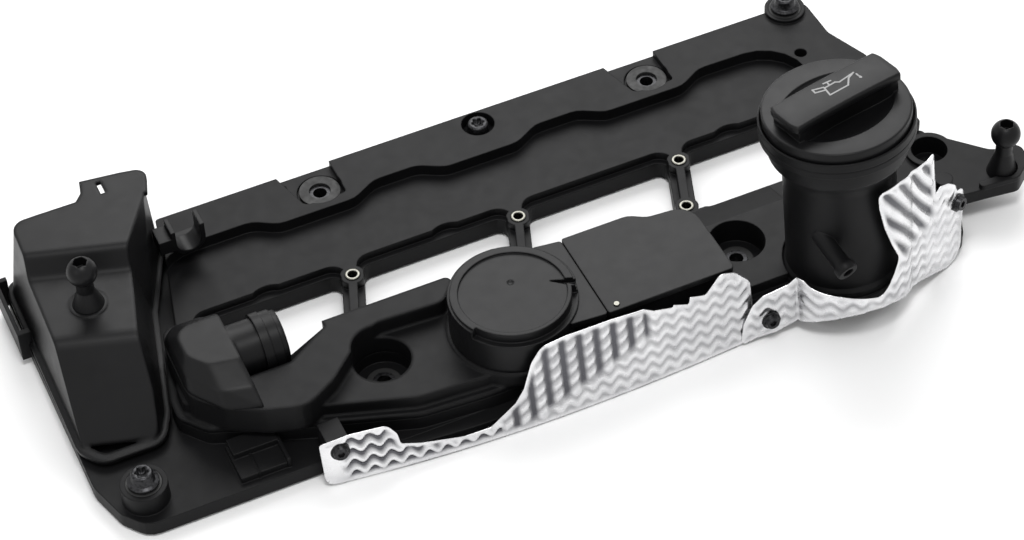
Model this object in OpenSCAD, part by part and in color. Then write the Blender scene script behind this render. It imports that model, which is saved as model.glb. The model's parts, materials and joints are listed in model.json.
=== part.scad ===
/* [Engine] */
// Distance between neighbouring cylinders, along the cover
cylinder_pitch = 88; // [87:0.5:89]
// Forward lean of the window ribs, in degrees from straight across
rib_skew = 20; // [16:1:22]

/* [Cover] */
// Height of the underside of the flange over the cylinder head
flange_under = 1.5; // [1.2:0.1:2]
// Height of the top of the outer flange
flange_top = 9.5; // [9:0.5:10.5]
// Height of the ledge round each window
ledge_top = 11; // [10.5:0.5:12]
// Height of the long trough's floor
trough_floor = 15.5; // [15:0.5:16.5]
// Height of the rear rail
rail_top = 22; // [21:0.5:23]
// Height of the two lowered bolt pads on the rear rail
pad_top = 18.5; // [18:0.5:19.5]
// Thickness of the moulded walls
wall = 3; // [2.6:0.1:3.2]

/* [Oil separator] */
// Height of the separator lid's rim
rim_top = 20; // [20:0.5:20.5]
// Height of the lid's valley, in front of its ridge
valley_top = 27; // [26:0.5:28]
// Height of the lid's ridge
ridge_top = 36; // [35:0.5:37]
// Height of the flat chamber lid
chamber_top = 44; // [43:0.5:45]
// Outer radius of the round valve cap
valve_r = 30.5; // [30:0.5:31]
// Height of the round valve cap
valve_top = 50; // [49.5:0.5:51]
// Travel of the sprung valve plate
valve_travel = 3; // [2:0.5:3]

/* [Reservoir] */
// Height of the raised rear part of the reservoir
reservoir_top = 60; // [58:1:62]
// Height of the shelf that carries the ball stud
reservoir_shelf = 50; // [49:0.5:51]

/* [Oil filler] */
// Backward lean of the filler neck, in degrees
neck_lean_back = 5; // [4:0.5:6]
// Sideways lean of the filler neck, in degrees
neck_lean_side = 2; // [1:0.5:3]
// Outer radius of the filler neck
neck_r = 27; // [26.5:0.5:27.5]
// Inner radius of the filler neck
neck_bore_r = 23.5; // [23:0.5:24]
// Length of the filler neck, from its foot to its rim
neck_length = 83; // [82:1:84]
// Radius of the filler cap
cap_r = 34.5; // [34:0.5:35]

/* [Fastening] */
// Radius of the hole in each spacer sleeve
sleeve_bore_r = 3.4; // [3.3:0.1:3.6]
// Radius of the ball on each ball stud
ball_r = 7.2; // [7:0.1:7.4]
// Thickness of the heat shields
shield_t = 0.8; // [0.6:0.1:1]

/* [Hidden] */
$fn = 48;

mould = [0.17, 0.17, 0.18];
rubber = [0.09, 0.09, 0.09];
steel = [0.62, 0.62, 0.6];
foil = [0.78, 0.78, 0.79];

// The features are set out from the middle rib insert; this moves them to the centre of the base
datum = [4.0525, 13.3508, 0];
fillet_step = 18;
e = 0.01;
skew = tan(rib_skew);
insert_y = 16;
window_rear = 23;
window_front = -19;
rib_half = 5.7;
seal_w = 4;
seal_h = 4.5;
seat_z = 17;

// Fastening points, x, y and the height of the seat under the head
rear_bolt = [6.5, 79];
corner_bolt = [184, 85];
front_bolt = [-223, -66];
pad_left = [-82, 73];
pad_right = [98, 73];
well_left = [-99.5, -51];
well_right = [84, -54];
arm_well = [200, -37];
well_r = 13.8;
well_floor = 10;
arm_well_r = 9;
grommet_r = 8.4;
sleeve_r = 5.4;
insert_r = 3.75;
insert_bore_r = 2.1;
insert_foot = 5.5;
chamber_floor = 11.5;
drain_at = [-150, -50];
drain_r = 3.2;
stud_r = 3.4;
valve_c = [-35.5, -59];
valve_seat = 34;
valve_pot_r = 27.5;
lid_wall = 2.5;
stud_left = [-215, 22];
stud_right = [224, -66];
arm_top = 20;
stub_y = -23.8;
stub_z = 35;
stub_r = 13.3;
stub_bore_r = 11.2;
stub_groove_r = 11.9;
stub_groove_x = -147;
stub_groove_w = 2.2;
hood_face = -163.5;
hood_top = 48.5;
grip_top = 20.5;
grip_crown_r = 600;
pad_ring_r = 10.3;
neck_foot = [124.8, -85.2, 22];
slit_x = 0.5;
pin_at = [6.5, -82.5];
pin_r = 1.3;
shield_tilt = 9.5;
screw_r = 1.9;
screw_hole_r = 2.4;

module from_datum() { translate(datum) children(); }
module on_neck() { translate(neck_foot) rotate([-neck_lean_back, -neck_lean_side, 0]) children(); }

function xy(p) = [p[0], p[1]];
function unit(v) = v / norm(v);
function left_of(v) = [-v.y, v.x];
function turn(a, b) = let (d = b - a) d > 180 ? d - 360 : d < -180 ? d + 360 : d;

// The arc that rounds the corner b between a and c, in count steps or in steps of fillet_step
function fillet(a, b, c, r, count) = r <= 0 || unit(a - b) * unit(c - b) < -0.999 ? [b] : let (
    u = unit(a - b), v = unit(c - b), half = acos(u * v) / 2,
    d = min(r / tan(half), 0.48 * min(norm(a - b), norm(c - b))),
    rr = d * tan(half), m = b + unit(u + v) * rr / sin(half),
    p = b + u * d - m, q = b + v * d - m,
    a0 = atan2(p.y, p.x), da = turn(a0, atan2(q.y, q.x)),
    n = count > 0 ? count : max(1, ceil(abs(da) / fillet_step)))
    [for (i = [0:n]) m + rr * [cos(a0 + da * i / n), sin(a0 + da * i / n)]];

// A closed outline of [x, y, corner radius], with its corners rounded
function rounded(pts, count = 0) = let (k = len(pts))
    [for (i = [0:k - 1])
        each fillet(xy(pts[(i + k - 1) % k]), xy(pts[i]), xy(pts[(i + 1) % k]), pts[i][2], count)];

// The same outline moved inwards by d, for an outline listed anticlockwise
function inset(pts, d) = let (k = len(pts))
    [for (i = [0:k - 1]) let (
        e1 = unit(xy(pts[i]) - xy(pts[(i + k - 1) % k])),
        e2 = unit(xy(pts[(i + 1) % k]) - xy(pts[i])),
        n1 = left_of(e1), n2 = left_of(e2), m = (n1 + n2) / (1 + n1 * n2),
        convex = e1.x * e2.y - e1.y * e2.x > 0)
        [pts[i][0] + d * m.x, pts[i][1] + d * m.y, max(0.4, pts[i][2] + (convex ? -d : d))]];

module tier(pts, z0, z1) { translate([0, 0, z0]) linear_extrude(z1 - z0) polygon(rounded(pts)); }
module ring(outer, inner, z0, z1) {
    translate([0, 0, z0]) linear_extrude(z1 - z0) difference() {
        polygon(rounded(outer));
        polygon(rounded(inner));
    }
}
// Straight-sided loft between two outlines with the same number of corners
module loft(low, high, z0, z1) {
    a = rounded(low, 5);
    b = rounded(high, 5);
    k = len(a);
    polyhedron([for (p = a) [p.x, p.y, z0], for (p = b) [p.x, p.y, z1]], concat(
        [[for (i = [0:k - 1]) i]],
        [[for (i = [k - 1:-1:0]) k + i]],
        [for (i = [0:k - 1]) [i, k + i, k + (i + 1) % k]],
        [for (i = [0:k - 1]) [i, k + (i + 1) % k, (i + 1) % k]]));
}
module peg(at, r, z0, z1) { translate([at.x, at.y, z0]) cylinder(r = r, h = z1 - z0); }
module tube(at, r, bore, z0, z1) {
    difference() {
        peg(at, r, z0, z1);
        peg(at, bore, z0 - 1, z1 + 1);
    }
}
module box(x0, x1, y0, y1, z0, z1) { translate([x0, y0, z0]) cube([x1 - x0, y1 - y0, z1 - z0]); }

// Outlines, anticlockwise from the front left
flange_outline = [[-228, -82, 11], [-140, -82, 8], [-104, -86.5, 8], [60, -86.5, 6], [90, -89, 6],
    [180, -92, 5], [191, -87, 5], [199, -70, 6],
    [205, -45, 6], [205, 36, 10], [196, 60, 8], [196, 88, 6], [-243, 88, 8], [-243, -50, 8],
        [-237, -70, 8]];
seal_outline = [[-201, -75, 8], [-141, -75, 8], [-104, -81, 8], [174, -83, 8], [187, -62, 8],
    [187, 20, 12], [170, 62, 14], [-160, 62, 10], [-172, 80, 8], [-236, 80, 6], [-236, -40, 8]];
trough_outline = [[-178, -21, 3], [173, -21, 3], [173, 65, 35], [124, 65.5, 12], [111, 58, 12],
    [68, 58, 12], [55, 65.5, 12], [32, 65.5, 12], [19, 58, 12],
    [-20, 58, 12], [-33, 65.5, 12], [-56, 65.5, 12], [-69, 58, 12],
    [-109, 58, 12], [-121, 65.5, 12], [-178, 65.5, 36]];
gallery_outline = [[-187, -21, 3], [205, -21, 3], [205, 36, 10], [196, 60, 8], [196, 88, 6],
    [-163, 88, 2], [-166, 66, 4]];
rim_outline = [[-187.2, 8, 5], [-195.8, -26, 6], [-196, -36, 6], [-186, -49, 8], [-147, -65, 16],
    [-94, -84, 14], [-60, -86.5, 8],
    [0, -86.5, 1], [0, -24, 1], [-172, -24, 4], [-176, 8, 5]];
deck_outline = [[0, -86.5, 1], [60, -86.5, 6], [90, -88, 6], [178, -91, 5], [186, -83, 5], [197, -68, 6],
    [205, -45, 6], [205, -21, 3], [0, -21, 1]];
ridge_outline = [[-187.5, 4, 6], [-190, -10, 8], [-190, -40, 12], [-178, -54, 10], [-161, -64, 8],
    [-143, -70, 14], [-126, -60, 10],
    [-112, -47, 8], [-96, -36, 10], [-62, -38, 6], [-50, -24, 3], [-78, -24, 8], [-86, -24, 8],
    [-128, -24, 12], [-160, -24, 12], [-165, 4, 6]];
chamber_outline = [[slit_x + 0.5, -86, 1.5], [66, -86, 2], [66, -40, 11], [44, -38, 9], [36, -33, 9],
    [slit_x + 0.5, -33, 1.5]];

// Window k of four, between two ribs that lean forward; grow is how far its walls are moved outwards
rib_x = [-172.5, -cylinder_pitch, 0, cylinder_pitch, 164];
function rib_at(x, y) = x + skew * (y - insert_y);
function window_outline(k, grow) = inset([
    [rib_at(rib_x[k], window_front) + rib_half, window_front, 5],
    [rib_at(rib_x[k + 1], window_front) - rib_half, window_front, 5],
    [rib_at(rib_x[k + 1], window_rear) - rib_half, window_rear, 5],
    [rib_at(rib_x[k], window_rear) + rib_half, window_rear, 5]], -grow);
module windows(grow, z0, z1) { for (k = [0:3]) tier(window_outline(k, grow), z0, z1); }

insert_points = [[-cylinder_pitch, insert_y], [0, insert_y], [cylinder_pitch, insert_y],
    [rib_at(cylinder_pitch, -14.5), -14.5]];
sleeve_points = [pad_left, pad_right, well_left, well_right, rear_bolt, corner_bolt, front_bolt];

// Everything the base is made of, before its hollows are taken out
module base_solids() {
    tier(flange_outline, flange_under, flange_top);
    tier(gallery_outline, flange_under, rail_top);
    tier(rim_outline, flange_under, seat_z);
    tier(deck_outline, flange_under, 18);
    // Raised block round the right-hand bolt well, with its sloping back
    translate([66, 0, 0]) rotate([90, 0, 90]) linear_extrude(52)
        polygon([[-84, 10], [-84, 24], [-39, 24], [-22, 18], [-22, 10]]);
    // Seat for the foot of the filler neck
    on_neck() translate([0, 0, -15]) cylinder(r1 = 25, r2 = 29, h = 9 + e);
    on_neck() translate([0, 0, -6]) cylinder(r = 29, h = 6);
    peg(corner_bolt, 10.5, flange_under, 24);
    peg(front_bolt, 11, flange_under, 20);
    peg(arm_well, arm_well_r + wall, flange_under, arm_top);
    arm();
    side_tab();
    latch_block();
    // Post behind the neck shield's right-hand screw
    translate([184, -76, 17]) cylinder(r = 4.5, h = 24);
    // Boss behind the front shield's screw
    box(-141, -130.5, -84.5, -72, 5, 24);
    // Low wall that the reservoir is welded to
    ring(reservoir_foot, inset(reservoir_foot, 2.5), flange_top - e, 12);
}

// Bracket at the right-hand end, with a rib below and a raised lip round the ball stud
module arm() {
    reach = [[196, -72, 4], [214, -74, 4], [228, -76, 5], [238, -68, 4], [240, -57, 5], [226, -50, 8],
        [206, -28, 6], [190, -28, 2]];
    tier(reach, 13, arm_top);
    translate([195, -60, 6]) rotate([0, 0, -14]) cube([38, 3, 8]);
    lip = [[208, -74.2, 3], [228, -76, 5], [238, -68, 4], [240, -57, 5], [233, -53.5, 2], [230, -56, 2],
        [232, -66, 4], [225, -71, 4], [208, -70.5, 1]];
    tier(lip, arm_top - e, arm_top + 3);
}

// Open bracket on the left edge, under the reservoir's side
module side_tab() {
    difference() {
        box(-247.5, -241, 44, 84, 5, 22);
        box(-245.5, -238, 47, 81.5, 0, 30);
    }
    box(-246, -241, 44, 58, 5, 9);
}

// Two-step lug on the front, with its retaining edge
module latch_block() {
    box(-181, -157, -78, -56, flange_top - e, 13);
    box(-180, -158, -66, -56, 12, 16.5);
    box(-172.6, -171.8, -78.4, -62, flange_top - e, 13.6);
    box(-158.5, -156.8, -78.4, -62, flange_top - e, 15.5);
}

// Trough, windows, wells, hollow underside, chambers, seats and seal grooves
module base_cuts() {
    tier(trough_outline, trough_floor, 40);
    windows(0, -1, 40);
    difference() {
        windows(3.2, ledge_top, 40);
        for (p = insert_points) peg(p, 6, ledge_top - 1, 41);
    }
    // Round bites out of three ledges, for the injector clamps
    for (x = [-129, -35, 120]) peg([x, 14.5], 13.5, ledge_top, 40);
    // Lowered pads on the rear rail
    tier([[-101, 95, 1], [-93, 64, 4], [-71, 64, 2], [-71, 95, 1]], pad_top, 40);
    tier([[79, 95, 1], [87, 64, 4], [109, 64, 2], [109, 95, 1]], pad_top, 40);
    for (p = [pad_left, pad_right]) peg(p, pad_ring_r + 1.1, pad_top - 1.5, 40);
    // Round recess over the rear bolt
    peg(rear_bolt, grommet_r, 15, 40);
    // Bolt wells
    peg(well_left, well_r, well_floor, 40);
    peg(well_right, well_r, well_floor, 40);
    peg(arm_well, arm_well_r, 9, 40);
    peg(arm_well, sleeve_r, -1, 40);
    // Small blind locating hole in the rear right corner
    peg([176, 52.5], 3.2, 15, 40);
    // Hollow under the cover, inside the seal
    difference() {
        tier(inset(seal_outline, seal_w + wall), -1, 9);
        for (k = [0:3]) tier(window_outline(k, 9.5), -2, 10);
        for (p = [well_left, well_right]) peg(p, well_r + wall, -2, 10);
        for (x = [-132, -44, 44, 132]) box(x - 1.25, x + 1.25, 28, 60, 5, 10);
    }
    // Deeper gallery under the trough
    tier([[-158, 34, 6], [156, 34, 6], [156, 54, 8], [-158, 54, 8]], 8, trough_floor - wall);
    // Pockets under the rear rail, between its bolt bosses
    for (p = [[-156, -96], [-68, -6], [19, 84], [112, 170]])
        difference() {
            box(p[0], p[1], 67, 84.5, -1, rail_top - wall);
            for (x = [p[0] + 22:22:p[1] - 8]) box(x - 1.2, x + 1.2, 66, 85, -2, 30);
        }
    // Separator chamber, its drain and the passage to the valve
    tier([[-183.5, 5, 4], [-190, -22, 6], [-190, -32, 6], [-181, -45, 6], [-145, -60, 12], [-117, -68, 6],
        [-117, -34, 4], [-81, -34, 4],
        [-81, -68, 6], [-6, -84, 6], [-6, -27, 2], [-168, -27, 4], [-177, 5, 3]], chamber_floor, 40);
    peg(drain_at, drain_r, -1, 40);
    // Chamber under the flat lid
    tier([[6, -84, 4], [61, -84, 4], [61, -27, 4], [6, -27, 4]], chamber_floor, 40);
    // Seats of the separator lid, the welded reservoir, the right ball stud and the neck's foot
    tier(rim_outline, seat_z, 40);
    tier(inset(reservoir_foot, -2.4), 12, 14.5);
    tier(reservoir_foot, 12, 60);
    peg(stud_right, stud_r, 12, 40);
    peg(stud_right, 7.6, arm_top, 40);
    on_neck() cylinder(r = 28.7, h = 40);
    // Passage under the filler neck
    on_neck() translate([0, 0, -11]) cylinder(r = neck_bore_r - 2, h = 30);
    box(107, 143, -77, -56, -1, 15);
    on_neck() translate([0, 0, -2.4]) difference() {
        cylinder(r = 26.6, h = 5);
        translate([0, 0, -1]) cylinder(r = 24.2, h = 7);
    }
    // Grooves for the seals
    ring(seal_outline, inset(seal_outline, seal_w), -1, seal_h);
    difference() {
        windows(6.2, -1, 4);
        windows(2, -2, 5);
    }
    for (i = [0:2]) at_screw(i) cylinder(r = screw_r, h = 24, center = true);
    for (p = insert_points) peg(p, insert_r, insert_foot, 40);
    for (p = sleeve_points) peg(p, grommet_r, -1, 12);
    for (p = [pad_left, pad_right, corner_bolt, front_bolt, rear_bolt]) peg(p, grommet_r, 10, 40);
}

module cover_base() {
    color(mould) from_datum() difference() {
        base_solids();
        base_cuts();
    }
}

// Seal round the whole cover
module rim_gasket() {
    color(rubber) from_datum() ring(seal_outline, inset(seal_outline, seal_w), 0, seal_h);
}

// Seal round the four windows, in one piece
module well_gasket() {
    color(rubber) from_datum() difference() {
        windows(6.2, 0, 4);
        windows(2, -1, 5);
    }
}

// Threaded inserts on the window ribs
module rib_inserts() {
    insert_top = trough_floor + 0.6;
    color(steel) from_datum() for (p = insert_points) tube(p, insert_r, insert_bore_r, insert_foot, insert_top);
}

// Height of the sleeve's top at each fastening point
sleeve_tops = [pad_top - 0.6, pad_top - 0.6, well_floor + 2, well_floor + 2, 16, 24.5, 20.5];

// Steel sleeves that limit the squeeze on the grommets
module spacer_sleeves() {
    color(steel) from_datum() {
        for (i = [0:6]) tube(sleeve_points[i], sleeve_r, sleeve_bore_r, flange_under, sleeve_tops[i]);
        tube(arm_well, sleeve_r, sleeve_bore_r, flange_under, 9.6);
    }
}

// Rubber grommets between the sleeves and the base
module sleeve_grommets() {
    color(rubber) from_datum() {
        for (i = [0:6]) tube(sleeve_points[i], grommet_r, sleeve_r, flange_under, sleeve_tops[i] - 0.5);
        // Raised collars of the two on the lowered pads
        for (i = [0, 1]) tube(sleeve_points[i], pad_ring_r, sleeve_r, pad_top - 1.5, pad_top + 0.8);
    }
}

// Flanged screw with a six-lobed socket, its underside at z0
module cover_bolt(z0) {
    translate([0, 0, z0]) difference() {
        union() {
            cylinder(r = 7.4, h = 1.6);
            translate([0, 0, 1.6 - e]) cylinder(r1 = 5.6, r2 = 5.2, h = 5.4);
            translate([0, 0, 2 - z0 - 1]) cylinder(r = 3.2, h = z0);
        }
        translate([0, 0, 4]) for (a = [0:60:120]) rotate([0, 0, a]) translate([-2.6, -0.8, 0])
            cube([5.2, 1.6, 5]);
        translate([0, 0, 4]) cylinder(r = 2, h = 5);
    }
}

// The three bolts that are in place in the photo
module cover_bolts() {
    color(steel) from_datum() {
        translate(rear_bolt) cover_bolt(16);
        translate(corner_bolt) cover_bolt(24.5);
        translate(front_bolt) cover_bolt(20.5);
    }
}

// The breather stub's axis, along X from the hood's flat face
module on_stub(x) { translate([x, stub_y, stub_z]) rotate([0, 90, 0]) children(); }
// Scoop in the lid round the stub, fading out to the right
module stub_hollow(grow) {
    intersection() {
        union() {
            on_stub(hood_face - grow) cylinder(r = 17.5 + grow, h = 23.5 + grow + e);
            on_stub(-140) cylinder(r1 = 17.5 + grow, r2 = 4 + grow, h = 22);
        }
        box(-170, -100, -60, 10, rim_top - grow, 60);
    }
}

// Lid of the oil separator, stepped from its rim up to the ridge
module separator_lid() {
    color(mould) from_datum() difference() {
        union() {
            tier(rim_outline, seat_z, rim_top);
            tier(inset(rim_outline, 4), rim_top - e, valley_top);
            tier(ridge_outline, rim_top - e, ridge_top);
            // Pot for the pressure valve
            peg(valve_c, valve_r + 1.5, rim_top, valley_top + 1);
            peg(valve_c, valve_pot_r, rim_top, valve_seat);
        }
        peg(well_left, well_r, 0, 60);
        difference() {
            tier(inset(rim_outline, 4 + lid_wall), 0, valley_top - lid_wall);
            peg(well_left, well_r + lid_wall, 0, 60);
            peg(valve_c, valve_pot_r, 20, 60);
            stub_hollow(lid_wall);
        }
        difference() {
            tier(inset(ridge_outline, lid_wall), 0, ridge_top - lid_wall);
            peg(well_left, well_r + lid_wall, 0, 60);
            peg(valve_c, valve_r + 1.5, 20, 60);
            stub_hollow(lid_wall);
        }
        // Inside of the valve pot, round its outlet tube
        tube(valve_c, 25, 7.5, 22.5, 60);
        peg(valve_c, 5, 0, 60);
        peg(valve_c, 8, 28, 60);
        for (a = [30, 150, 270]) translate([valve_c.x, valve_c.y, 0]) rotate([0, 0, a])
            translate([15, 0, 0]) cylinder(r = 3, h = 30);
        // Scoop round the breather stub, and the hole under the hood
        stub_hollow(0);
        on_stub(-170) cylinder(r = stub_r, h = 10);
        tier([[-186, -6, 4], [-186, -34, 6], [-169, -38, 4], [-169, -8, 4]], 20, 60);
    }
}

// Two perforated plates and the strip that joins them, inside the separator
module separator_baffle() {
    color(mould) from_datum() {
        difference() {
            box(-170, -167.5, -46, -28, chamber_floor, 32);
            for (y = [-41:8:-33], z = [16, 24]) translate([-172, y, z]) rotate([0, 90, 0])
                cylinder(r = 2.4, h = 10);
        }
        difference() {
            box(-126, -123.5, -52, -35.5, chamber_floor, 32);
            for (y = [-48, -40], z = [16, 24]) translate([-130, y, z]) rotate([0, 90, 0])
                cylinder(r = 2.4, h = 10);
        }
        box(-168, -126 + e, -37.5, -35.5, chamber_floor, 17);
    }
}

// Rubber flap valve in the separator's drain
module drain_valve() {
    color(rubber) from_datum() translate(drain_at) {
        translate([0, 0, 7.2]) cylinder(r = 6, h = 1.8);
        translate([0, 0, 8]) cylinder(r = drain_r, h = 4);
        translate([0, 0, chamber_floor]) cylinder(r1 = 4.6, r2 = 3, h = 2);
    }
}

// Elbow over the separator's outlet, with the breather stub
module breather_hood() {
    color(mould) from_datum() difference() {
        union() {
            // Crowned elbow with a flat right-hand face that closes the scoop
            hull() {
                tier([[-189, 2, 8], [-190, -38, 12], [-178, -56, 8], [-161, -62, 1],
                    [-161, 0, 1]], ridge_top, ridge_top + 0.5);
                tier([[-188.5, -2, 8], [-188.5, -34, 10], [-178, -50, 8], [-161.8, -54, 1.5],
                    [-161.8, -4, 1.5]], 42, 43);
                tier([[-185, -10, 8], [-185, -28, 8], [-178, -37, 6], [-162.8, -40, 2],
                    [-162.8, -10, 2]], 48, hood_top);
            }
            intersection() {
                on_stub(hood_face) cylinder(r = 17.4, h = 2.5);
                box(-170, -150, -60, 10, rim_top, ridge_top + 1);
            }
            on_stub(hood_face) cylinder(r = stub_r, h = 25);
        }
        hull() {
            tier([[-186, -1, 6], [-187, -36, 10], [-176, -52, 6], [-163.5, -58, 1],
                [-163.5, -3, 1]], ridge_top - 1, ridge_top + 0.5);
            tier([[-182, -12, 6], [-182, -27, 6], [-177, -34, 5], [-164, -37, 1],
                [-164, -13, 1]], 45, hood_top - 2.5);
        }
        on_stub(-166) cylinder(r = stub_bore_r, h = 40);
        // Groove for the O-ring, under the collar
        on_stub(stub_groove_x) difference() {
            cylinder(r = 15, h = stub_groove_w);
            translate([0, 0, -1]) cylinder(r = stub_groove_r, h = 5);
        }
    }
}

// Ring pushed over the breather stub
module stub_collar() {
    color(mould) from_datum() on_stub(-150.5) difference() {
        union() {
            cylinder(r = 14.9, h = 4.5);
            translate([0, 0, 4.5 - e]) cylinder(r = 14.3, h = 5);
        }
        translate([0, 0, -1]) cylinder(r = stub_r, h = 12);
    }
}

// Seal in the stub's groove
module stub_o_ring() {
    color(rubber) from_datum() on_stub(stub_groove_x) difference() {
        cylinder(r = stub_r, h = stub_groove_w);
        translate([0, 0, -1]) cylinder(r = stub_groove_r, h = 5);
    }
}

// Round cap over the pressure valve, with the flat tongue that runs to the slit
module valve_cap() {
    tongue = [[-18, -84.5, 2], [slit_x, -86, 1.5], [slit_x, -34, 1.5], [-14, -32, 4], [-24, -40, 4]];
    color(mould) from_datum() difference() {
        union() {
            peg(valve_c, valve_r, valley_top + 1, valve_top - 1.2);
            peg(valve_c, valve_r - 1.2, valve_top - 1.2 - e, valve_top);
            tier(tongue, chamber_top - 3, chamber_top);
            difference() {
                tier([[-14, -82.5, 2], [slit_x, -84.5, 1.5], [slit_x, -36, 1.5],
                    [-12, -34, 4]], rim_top, chamber_top - 1);
                tier([[-14, -80, 1], [slit_x - 2.5, -82, 1], [slit_x - 2.5, -39, 1],
                    [-14, -37, 1]], 0, chamber_top - 2);
            }
        }
        // Shallow dish and small dimple in the top
        peg(valve_c, valve_r - 5, valve_top - 1, 60);
        translate([-33.6, -52.4, valve_top + 1.4]) sphere(r = 3);
        // Groove between the disc and the tongue, and the arrow's pocket behind it
        translate([valve_c.x, valve_c.y, 0]) difference() {
            translate([0, 0, chamber_top + 1]) cylinder(r = valve_r + 4, h = 20);
            translate([0, 0, chamber_top]) cylinder(r = valve_r - 3, h = 22);
            rotate([0, 0, -18]) translate([-60, 0, 0]) cube([120, 60, 80]);
            rotate([0, 0, -62]) translate([-120, -60, 0]) cube([120, 120, 80]);
        }
        tier([[-18.5, -58.5, 0.4], [-6.2, -69, 0.6], [-4.6, -64, 0.8]], valve_top - 3.5, 60);
        // Seats on the separator lid
        tier(rim_outline, 0, rim_top);
        tier(inset(rim_outline, 4), 0, valley_top);
        peg(valve_c, valve_r + 1.5, 0, valley_top + 1);
        peg(valve_c, valve_pot_r, 0, valve_seat);
        peg(valve_c, valve_pot_r + 0.5, 0, valve_seat + 1.6);
        peg(valve_c, 25, 30, 46);
    }
}

// Rolling diaphragm, clamped on the pot's edge
module valve_diaphragm() {
    color(rubber) from_datum() translate([valve_c.x, valve_c.y, 0]) rotate_extrude()
        polygon([[0, 34], [13, 34], [15, 36.5], [18, 37.8], [21, 36.5], [23, 34], [27.4, 34],
            [27.4, 35.5], [23.6, 35.5],
            [21.8, 37.8], [18, 39.2], [14.2, 37.8], [12.4, 35.5], [0, 35.5]]);
}

// Plate under the diaphragm that closes the outlet tube
module valve_plate() {
    color(mould) from_datum() translate([valve_c.x, valve_c.y, 0]) {
        translate([0, 0, 32]) cylinder(r = 12, h = 2);
        translate([0, 0, 31.2]) difference() {
            cylinder(r = 8.2, h = 1);
            translate([0, 0, -1]) cylinder(r = 6.2, h = 1.8);
        }
        translate([0, 0, 29.5]) cylinder(r = 3, h = 3);
    }
}

// Coil of round wire: profiles swept along a helix, flat enough at the ends to seat
spring_turns = 4;
spring_wire = 0.6;
spring_r = 10.6;
module valve_spring() {
    z0 = 22.5 + spring_wire;
    z1 = 32 - spring_wire;
    steps = spring_turns * 20;
    sides = 6;
    ring_at = function(i) let (t = i / steps, a = 360 * spring_turns * t,
        f = t < 0.12 ? 0 : t > 0.88 ? 1 : (t - 0.12) / 0.76, z = z0 + (z1 - z0) * f)
        [for (s = [0:sides - 1]) let (b = 360 * s / sides, r = spring_r + spring_wire * cos(b))
            [r * cos(a), r * sin(a), z + spring_wire * sin(b)]];
    points = [for (i = [0:steps]) each ring_at(i)];
    faces = concat([[for (s = [0:sides - 1]) s]],
        [for (i = [0:steps - 1], s = [0:sides - 1]) let (n = (s + 1) % sides)
            [i * sides + s, (i + 1) * sides + s, (i + 1) * sides + n, i * sides + n]],
        [[for (s = [sides - 1:-1:0]) steps * sides + s]]);
    color(steel) from_datum() translate([valve_c.x, valve_c.y, 0]) polyhedron(points, faces);
}

// Flat lid over the second chamber
module chamber_lid() {
    color(mould) from_datum() difference() {
        union() {
            tier(chamber_outline, chamber_top - 3, chamber_top);
            tier(inset(chamber_outline, 1.5), 18, chamber_top - 2);
        }
        tier(inset(chamber_outline, 4), 0, chamber_top - 3);
        box(60, 80, -90, -20, 0, 24);
        peg(pin_at, pin_r, chamber_top - 2.5, 60);
    }
}

// Pressed metal pin that shows in the lid's corner
module lid_pin() {
    color(steel) from_datum() {
        peg(pin_at, pin_r, chamber_top - 2.5, chamber_top + 0.6);
    }
}

// Welded vacuum reservoir: walls with draft, under a raised rear, a shelf and a long sloping front
reservoir_foot = [[-240, 85, 6], [-241, -30, 10], [-234, -40, 8], [-206, -40, 8], [-199, -26, 6],
    [-183, 37, 6], [-165, 78, 6], [-166, 86, 3]];
reservoir_crown = [[-233, 78, 7], [-236, -22, 8], [-231, -30, 6], [-213, -30, 6], [-208, -22, 5],
    [-191.5, 37, 4], [-168, 73, 4], [-170, 77.5, 3]];
reservoir_side = [[-42, -1, 1], [120, -1, 1], [120, reservoir_top, 2], [47, reservoir_top, 5],
    [40, reservoir_shelf, 5],
    [-1, reservoir_shelf, 9], [-38, 13, 4]];
module reservoir_form(t) {
    intersection() {
        loft(inset(reservoir_foot, t), inset(reservoir_crown, t), t > 0 ? 6 : 12, reservoir_top + 5);
        translate([-215, 0, 0]) rotate([90, 0, 72]) linear_extrude(140, center = true)
            polygon(rounded(inset(reservoir_side, t)));
    }
}

// Outer shell of the reservoir, with its foot flange and rear flag
module reservoir_shell() {
    foot_flange = inset(reservoir_foot, -2.4);
    color(mould) from_datum() difference() {
        union() {
            reservoir_form(0);
            tier(foot_flange, 12, 14.5);
            peg(stud_left, 9, 40, reservoir_shelf + 0.6);
            // Flag along the rear edge, with its small slit
            difference() {
                tier([[-222, 70, 1], [-168, 70, 1], [-163, 85.6, 6], [-176, 88.3, 2], [-195.3, 91, 0.6],
                    [-197.2, 83, 3],
                    [-201, 78.7, 2], [-207, 77, 1], [-222, 77.3, 1]], reservoir_top - 2.5, reservoir_top);
                box(-188.4, -186, 79, 87, 50, 70);
                box(-188.4, -186, 76.5, 79 + e, reservoir_top - 1, 70);
            }
        }
        reservoir_form(2.6);
        tier(inset(reservoir_foot, 2.6), 0, 15);
        peg(stud_left, stud_r, 42, 70);
    }
}

// Open clip for a hose, beside the reservoir
module hose_clip() {
    color(mould) from_datum() translate([-155, 62, 33]) rotate([90, 0, 0])
        linear_extrude(11, center = true) {
        difference() {
            union() {
                circle(r = 8.5);
                translate([-8.5, 0]) square([17, 8]);
            }
            circle(r = 6.3);
            translate([-6.3, 0]) square([12.6, 30]);
        }
        translate([-14.9, -4]) square([7.4, 8]);
    }
    // Foot on the rear rail
    color(mould) from_datum() box(-161, -149, 66, 71, rail_top, 26.5);
    color(mould) from_datum() box(-161, -149, 60, 67, 24, 26.5);
}

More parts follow.
